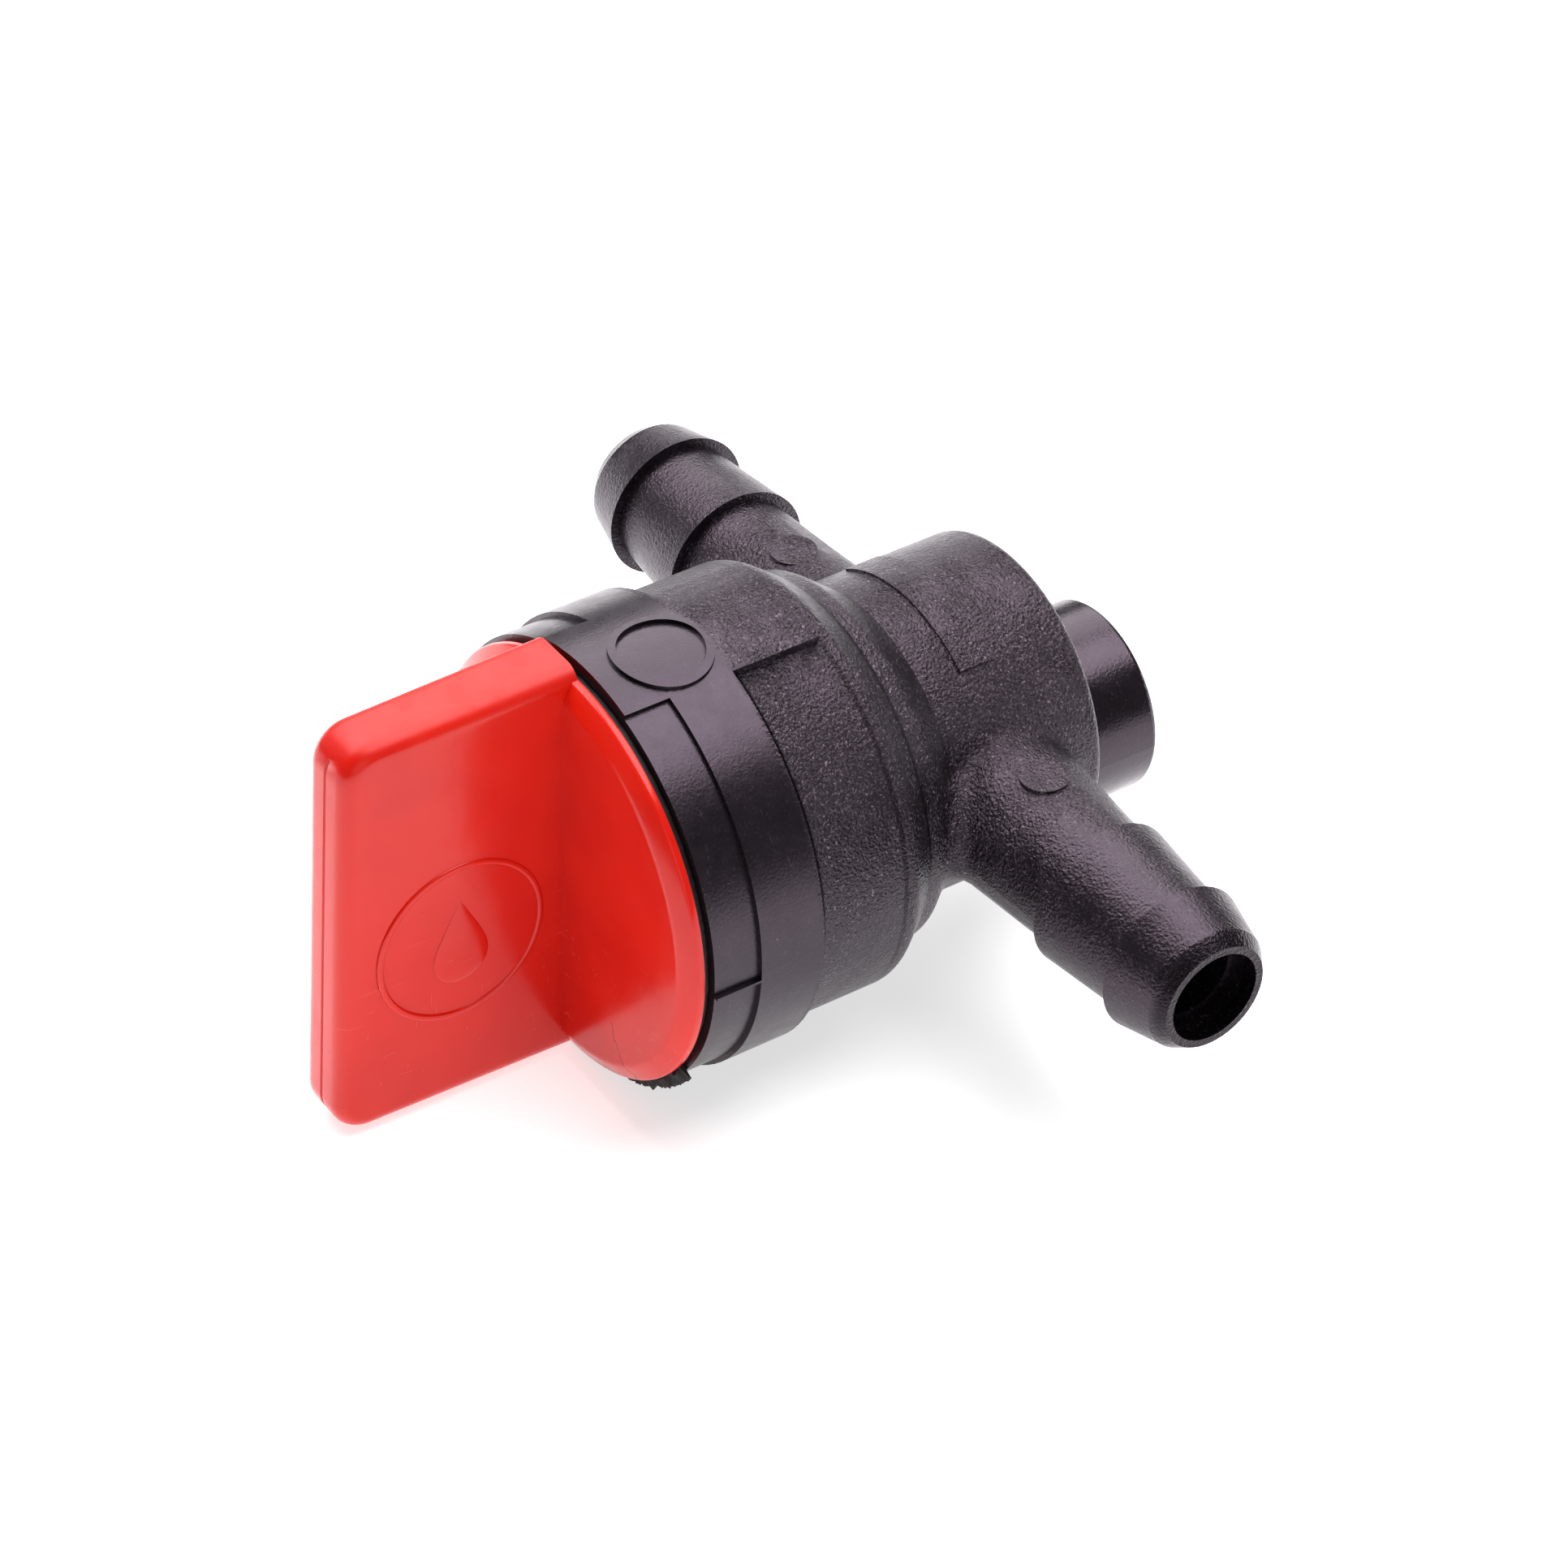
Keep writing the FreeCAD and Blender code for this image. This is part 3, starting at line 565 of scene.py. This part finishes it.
def hairline_crack(paint):
    """A fine wandering crack that runs in from the disc's lower edge."""
    across, height = paint.axis("X"), paint.axis("Z")
    middle = paint.ramp(height, CRACK_TOP, CRACK_BOTTOM,
                        TURN_AXIS.x + CRACK_TOP_OFF, TURN_AXIS.x + CRACK_BOTTOM_OFF)
    wander = paint.minus(paint.noise(0.9 * MM, 3.0, 0.7), 0.5)
    middle = paint.plus(middle, paint.times(wander, 0.9 * MM))
    gap = paint.maths("ABSOLUTE", paint.minus(across, middle))
    line = paint.ramp(gap, 0.055 * MM, 0.02 * MM)
    on_face = paint.times(paint.maths("LESS_THAN", height, CRACK_TOP),
                          paint.maths("GREATER_THAN", height, CRACK_BOTTOM))
    behind_blade = paint.maths("GREATER_THAN", paint.axis("Y"), DISC_FRONT - 0.15 * MM)
    return paint.times(line, paint.times(behind_blade, on_face))


def black_rubber(colours):
    """Matt black rubber with a faint bloom."""
    paint = Paint("black_rubber")
    bloom = paint.noise(0.7 * MM, 4.0, 0.6)
    colour = paint.mix(paint.ramp(bloom, 0.45, 0.8), colours.rubber, BLOOM)
    roughness = paint.ramp(bloom, 0.2, 0.8, 0.50, 0.70)
    normal = paint.bump(paint.noise(0.12 * MM, 3.0), 0.02 * MM, 0.5)
    return paint.finish(Base_Color=colour, Roughness=roughness, Normal=normal,
                        Specular_IOR_Level=0.35)


def turned_plastic(name, colour, wear):
    """Pale machined plastic with faint tool rings about the turn axis."""
    paint = Paint(name)
    mottle = paint.noise(1.4 * MM, 3.0)
    shade = paint.mix(paint.ramp(mottle, 0.3, 0.75), colour, wear)
    rings = paint.noise(1.0, 1.0, 0.4, paint.stretched((200, 9000, 200)))
    normal = paint.bump(rings, 0.01 * MM, 0.5)
    roughness = paint.ramp(mottle, 0.3, 0.7, 0.38, 0.52)
    return paint.finish(Base_Color=shade, Roughness=roughness, Normal=normal,
                        Subsurface_Weight=0.1, Subsurface_Scale=0.5 * MM)


def spring_steel(colours):
    """Bright spring steel with a drawn grain."""
    paint = Paint("spring_steel")
    grain = paint.noise(1.0, 3.0, 0.6, paint.stretched((700, 12000, 700)))
    colour = paint.mix(grain, colours.ring, [channel * 0.7 for channel in colours.ring])
    roughness = paint.ramp(grain, 0.2, 0.8, 0.25, 0.45)
    return paint.finish(Base_Color=colour, Roughness=roughness, Metallic=1.0,
                        Normal=paint.bump(grain, 0.005 * MM, 0.6))


def pale_floor(colours):
    """A pale floor with a faint glow of its own, so that shadows stay light."""
    paint = Paint("pale_floor")
    mottle = paint.noise(40 * MM, 2.0)
    colour = paint.mix(mottle, colours.floor, [channel * 0.985 for channel in colours.floor])
    return paint.finish(Base_Color=colour, Roughness=0.8, Emission_Color=colour,
                        Emission_Strength=FLOOR_GLOW)


def material(name, make, colours):
    """A material by name, made the first time it is asked for."""
    return bpy.data.materials.get(name) or make(colours)


# ------------------------------------------------------------------ operators


class TAP_OT_knob(bpy.types.Operator):
    """Model the red knob: bevelled disc, skirt and rounded blade with its mould line"""
    bl_idname = "tap.knob"
    bl_label = "Knob"

    def execute(self, context):
        sizes, colours = context.scene.tap_sizes, context.scene.tap_colours
        knob = self.disc(sizes)
        join(knob, self.blade(sizes))
        clean(knob, 32)
        use_material(knob, material("red_acetal", red_acetal, colours))
        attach(knob, "knob_and_rotor")
        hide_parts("knob")
        return {"FINISHED"}

    def disc(self, sizes):
        """Front disc with a soft bevelled rim, and the skirt and drive socket behind it."""
        edge = DISC_BACK - sizes.disc_thickness
        return spun("knob_shell", [
            (0, SOCKET_END),
            (SOCKET_RADIUS, SOCKET_END),
            (SOCKET_RADIUS, KNOB_HIGH.y),
            (SKIRT_RADIUS - 0.1 * MM, KNOB_HIGH.y),
            (SKIRT_RADIUS, KNOB_HIGH.y - 0.1 * MM),
            (SKIRT_RADIUS, DISC_BACK + 0.2 * MM),
            (SKIRT_RADIUS + 0.2 * MM, DISC_BACK),
            (DISC_RADIUS - 0.10 * MM, DISC_BACK),
            (DISC_RADIUS - 0.02 * MM, DISC_BACK - 0.04 * MM),
            (DISC_RADIUS, DISC_BACK - 0.12 * MM),
            (DISC_RADIUS, edge + 0.04 * MM),
            (DISC_RADIUS - 0.02 * MM, edge - 0.05 * MM),
            (DISC_RADIUS - 0.08 * MM, edge - 0.12 * MM),
            (FACE_RADIUS + 0.14 * MM, DISC_FRONT + 0.11 * MM),
            (FACE_RADIUS + 0.03 * MM, DISC_FRONT + 0.045 * MM),
            (FACE_RADIUS - 0.10 * MM, DISC_FRONT + 0.012 * MM),
            (FACE_RADIUS - 0.24 * MM, DISC_FRONT),
            (0, DISC_FRONT),
        ])

    def blade(self, sizes):
        """A tapered slab with round corners, round edges and a mould line down its tip."""
        thickness = sizes.blade_thickness
        middle = TURN_AXIS.x + sizes.blade_shift
        back, tip = DISC_BACK - 0.1 * MM, KNOB_LOW.y
        deselect_all()
        bpy.ops.mesh.primitive_cube_add(
            size=1, location=(middle, (back + tip) / 2, 0),
            scale=(thickness, back - tip, KNOB_HIGH.z - KNOB_LOW.z))
        blade = start("blade")
        with picked(blade, "VERT", lambda vertex: vertex.co.y < tip + MERGE):
            bpy.ops.transform.resize(value=(sizes.blade_taper, 1, TIP_HEIGHT),
                                     center_override=(middle, tip, 0))
        for side in (1, -1):
            with picked(blade, "VERT", lambda vertex: vertex.co.y < tip + MERGE
                        and vertex.co.z * side > 0):
                bpy.ops.transform.translate(value=(0, side * sizes.blade_lean / 2, 0))
        with picked(blade, "EDGE", lambda edge: self.runs_across(blade, edge, thickness / 2)
                    and max(point.y for point in ends(blade, edge)) < tip + sizes.blade_lean):
            bpy.ops.mesh.bevel(offset=sizes.corner_round, segments=9, affect="EDGES")
        with picked(blade, "EDGE", lambda edge: not self.runs_across(blade, edge, MERGE)
                    and self.on_one_side(blade, edge, middle)
                    and min(point.y for point in ends(blade, edge)) < back - 1e-5):
            bpy.ops.mesh.bevel(offset=sizes.edge_round, segments=6, affect="EDGES")
        self.mould_line(blade, middle, tip)
        return blade

    def runs_across(self, blade, edge, least):
        """True for an edge through the blade's thickness, longer than `least`."""
        first, last = ends(blade, edge)
        return abs(first.x - last.x) > least and abs(first.y - last.y) < MERGE

    def on_one_side(self, blade, edge, middle):
        """True for an edge that bounds a broad face, where two faces meet square."""
        first, last = ends(blade, edge)
        return (first.x - middle) * (last.x - middle) > 0

    def mould_line(self, blade, middle, tip):
        """A fine groove down the middle of the blade's narrow tip."""
        for place in (middle - GROOVE_HALF_WIDTH, middle, middle + GROOVE_HALF_WIDTH):
            with picked(blade, "FACE", lambda face: face.normal.y < -0.25
                        and abs(face.normal.x) < 0.6 and face.center.z < GROOVE_TOP):
                bpy.ops.mesh.bisect(plane_co=(place, 0, 0), plane_no=(1, 0, 0), threshold=1e-7)
        with picked(blade, "VERT", lambda vertex: abs(vertex.co.x - middle) < MERGE
                    and vertex.co.y < tip + GROOVE_REACH and vertex.co.z < GROOVE_TOP):
            bpy.ops.transform.shrink_fatten(value=-GROOVE_DEPTH)


class TAP_OT_badge(bpy.types.Operator):
    """Model the raised badge on the blade: a plain ring round a plain drop"""
    bl_idname = "tap.badge"
    bl_label = "Badge"

    def execute(self, context):
        sizes, colours = context.scene.tap_sizes, context.scene.tap_colours
        face = TURN_AXIS.x + sizes.blade_shift + sizes.blade_thickness / 2
        # The badge is halfway along, where the face has come in by half the taper.
        face -= sizes.blade_thickness / 2 * (1 - sizes.blade_taper) * 0.5
        centre = Vector((face, BADGE_ALONG, BADGE_HEIGHT))
        deselect_all()
        bpy.ops.mesh.primitive_torus_add(
            location=centre, rotation=(0, math.pi / 2, 0), major_segments=120, minor_segments=12,
            major_radius=sizes.badge_radius, minor_radius=BADGE_WIRE)
        ring = start("badge_ring")
        self.flatten(ring, centre, BADGE_FLAT)
        drop_centre = centre - Vector((0, 0, DROP_BELOW))
        bpy.ops.mesh.primitive_uv_sphere_add(
            segments=48, ring_count=24, radius=DROP_RADIUS, location=drop_centre)
        drop = start("badge_drop")
        self.point_drop(drop)
        self.flatten(drop, drop_centre, DROP_FLAT)
        for piece in (ring, drop):
            clean(piece, 40)
            use_material(piece, material("red_acetal", red_acetal, colours))
            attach(piece, "knob_and_rotor")
        return {"FINISHED"}

    def flatten(self, piece, centre, amount):
        """Squash a piece toward the blade's face."""
        with all_picked(piece):
            bpy.ops.transform.resize(value=(amount, 1, 1), center_override=centre)

    def point_drop(self, drop):
        """Draw the top of the sphere up to a point."""
        top = max(vertex.co.z for vertex in drop.data.vertices)
        with picked(drop, "VERT", lambda vertex: vertex.co.z > top - MERGE):
            bpy.ops.transform.translate(
                value=(0, 0, DROP_POINT), use_proportional_edit=True,
                proportional_edit_falloff="SHARP", proportional_size=2.0 * MM)


class TAP_OT_dust_ring(bpy.types.Operator):
    """Model the black rubber ring behind the knob disc, and the ragged flash under the rim"""
    bl_idname = "tap.dust_ring"
    bl_label = "Dust ring"

    def execute(self, context):
        sizes, colours = context.scene.tap_sizes, context.scene.tap_colours
        ring = self.ring()
        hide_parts("dust_ring")
        for piece in (ring, self.flash(sizes)):
            use_material(piece, material("black_rubber", black_rubber, colours))
            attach(piece, "valve")
        return {"FINISHED"}

    def ring(self):
        """A round-lipped ring, set back from the disc's edge."""
        outer, inner = RING_HIGH.z, DUST_RING_INNER
        back, front = RING_HIGH.y, RING_LOW.y
        lip = 0.08 * MM
        ring = spun("dust_ring_lip", [
            (inner, back),
            (outer - lip, back),
            (outer - lip * 0.3, back - lip * 0.3),
            (outer, back - lip),
            (outer, front + lip),
            (outer - lip * 0.3, front + lip * 0.3),
            (outer - lip, front),
            (inner, front),
            (inner, back),
        ])
        clean(ring, 40)
        return ring

    def flash(self, sizes):
        """A torn fin of moulding flash along the lower edge of the cup."""
        rim, front = CUP_RADIUS - 0.25 * MM, BODY_FRONT
        flash = spun("rim_flash", [
            (rim - 0.35 * MM, front + 0.05 * MM),
            (rim + 0.40 * MM, front + 0.05 * MM),
            (rim + 0.46 * MM, front - 0.08 * MM),
            (rim + 0.32 * MM, front - 0.20 * MM),
            (rim - 0.05 * MM, front - 0.26 * MM),
            (rim - 0.35 * MM, front - 0.22 * MM),
            (rim - 0.35 * MM, front + 0.05 * MM),
        ], steps=180, arc=FLASH_ARC)
        self.close_ends(flash)
        torn = bpy.data.textures.new("torn", "CLOUDS")
        torn.noise_scale = FLASH_TEAR
        torn.noise_depth = 4
        push = flash.modifiers.new("Torn", "DISPLACE")
        push.texture = torn
        push.texture_coords = "LOCAL"
        push.mid_level = FLASH_BALANCE
        push.strength = sizes.flash_height * 2
        apply_modifiers(flash)
        clean(flash, 50)
        return flash

    def close_ends(self, piece):
        """Put a face across each open end of a piece."""
        edit(piece, "EDGE")
        bpy.ops.object.mode_set(mode="EDIT")
        bpy.ops.mesh.select_non_manifold(use_wire=False, use_multi_face=False,
                                         use_non_contiguous=False, use_verts=False)
        bpy.ops.mesh.edge_face_add()
        bpy.ops.object.mode_set(mode="OBJECT")


class TAP_OT_finishes(bpy.types.Operator):
    """Paint the frame's own pieces: body, rotor, washer, snap ring and seals"""
    bl_idname = "tap.finishes"
    bl_label = "Finishes"

    def execute(self, context):
        colours = context.scene.tap_colours
        rubber = material("black_rubber", black_rubber, colours)
        paints = {
            "valve_body": black_nylon(colours),
            "rotor": turned_plastic("natural_acetal", colours.rotor, ROTOR_WEAR),
            "thrust_washer": turned_plastic("white_slip", colours.washer, WASHER_WEAR),
            "retaining_ring": spring_steel(colours),
            "stem_o_ring": rubber,
            "inlet_port_seal": rubber,
            "outlet_port_seal": rubber,
        }
        for node, paint in paints.items():
            use_material(frame["nodes"][node], paint)
        return {"FINISHED"}


class TAP_OT_stage(bpy.types.Operator):
    """Set the pale floor, the soft lights and the camera"""
    bl_idname = "tap.stage"
    bl_label = "Stage"

    def execute(self, context):
        self.floor(context)
        self.lights(context)
        self.camera(context)
        return {"FINISHED"}

    def floor(self, context):
        """A floor under the part, and an even white world."""
        deselect_all()
        bpy.ops.mesh.primitive_plane_add(
            size=FLOOR_SIZE, location=(TURN_AXIS.x, 0, CAD_BOX[0].z - FLOOR_GAP))
        floor = start("floor")
        use_material(floor, pale_floor(context.scene.tap_colours))
        world = bpy.data.worlds.new("studio")
        world.use_nodes = True
        background = world.node_tree.nodes["Background"]
        background.inputs["Color"].default_value = (1.0, 1.0, 1.0, 1.0)
        background.inputs["Strength"].default_value = WORLD_STRENGTH
        context.scene.world = world

    def lights(self, context):
        """Round soft lamps, each turned to the aim."""
        for name, place, width, power, tint in LAMPS:
            deselect_all()
            bpy.ops.object.light_add(type="AREA", location=LAMP_AIM + Vector(place))
            lamp = context.object
            lamp.name = name
            lamp.data.shape = "DISK"
            lamp.data.size = width
            lamp.data.energy = power
            lamp.data.color = tint
            lamp.rotation_euler = (-Vector(place)).to_track_quat("-Z", "Y").to_euler()

    def camera(self, context):
        """A long lens on the knob's side, above the part, slightly rolled."""
        azimuth, elevation, roll = [
            math.radians(angle) for angle in (CAMERA_AZIMUTH, CAMERA_ELEVATION, CAMERA_ROLL)]
        back = Vector((math.sin(azimuth) * math.cos(elevation),
                       -math.cos(azimuth) * math.cos(elevation), math.sin(elevation)))
        level = Vector((math.cos(azimuth), math.sin(azimuth), 0))
        above = back.cross(level)
        right = math.cos(roll) * level + math.sin(roll) * above
        up = back.cross(right)
        place = TURN_AXIS + CAMERA_RIGHT * right + CAMERA_UP * up + CAMERA_DISTANCE * back
        camera = bpy.data.cameras.new("camera")
        camera.sensor_width = CAMERA_SENSOR
        camera.lens = CAMERA_LENS
        camera.clip_start, camera.clip_end = 0.01, 20
        shooter = bpy.data.objects.new("camera", camera)
        context.scene.collection.objects.link(shooter)
        shooter.matrix_world = Matrix((
            (right.x, up.x, back.x, place.x),
            (right.y, up.y, back.y, place.y),
            (right.z, up.z, back.z, place.z),
            (0, 0, 0, 1),
        ))
        context.scene.camera = shooter
        context.scene.view_settings.view_transform = "Standard"


class TAP_PT_panel(bpy.types.Panel):
    """Sizes, colours and building steps of the fuel tap"""
    bl_idname = "TAP_PT_panel"
    bl_label = "Fuel Tap"
    bl_space_type = "VIEW_3D"
    bl_region_type = "UI"
    bl_category = "Fuel Tap"

    def draw(self, context):
        for settings in (context.scene.tap_sizes, context.scene.tap_colours):
            column = self.layout.column()
            for name in settings.__annotations__:
                column.prop(settings, name)
        for step in STEPS:
            self.layout.operator(step.bl_idname)


STEPS = (TAP_OT_knob, TAP_OT_badge, TAP_OT_dust_ring, TAP_OT_finishes, TAP_OT_stage)
CLASSES = (TapSizes, TapColours, *STEPS, TAP_PT_panel)


def register():
    """Register the classes and hang the settings on the scene."""
    for item in CLASSES:
        bpy.utils.register_class(item)
    bpy.types.Scene.tap_sizes = PointerProperty(type=TapSizes)
    bpy.types.Scene.tap_colours = PointerProperty(type=TapColours)


def unregister():
    """Undo register()."""
    del bpy.types.Scene.tap_colours
    del bpy.types.Scene.tap_sizes
    for item in reversed(CLASSES):
        bpy.utils.unregister_class(item)


def main():
    """Build every piece in order."""
    register()
    bpy.ops.tap.knob()
    bpy.ops.tap.badge()
    bpy.ops.tap.dust_ring()
    bpy.ops.tap.finishes()
    bpy.ops.tap.stage()


if __name__ == "__main__":
    main()
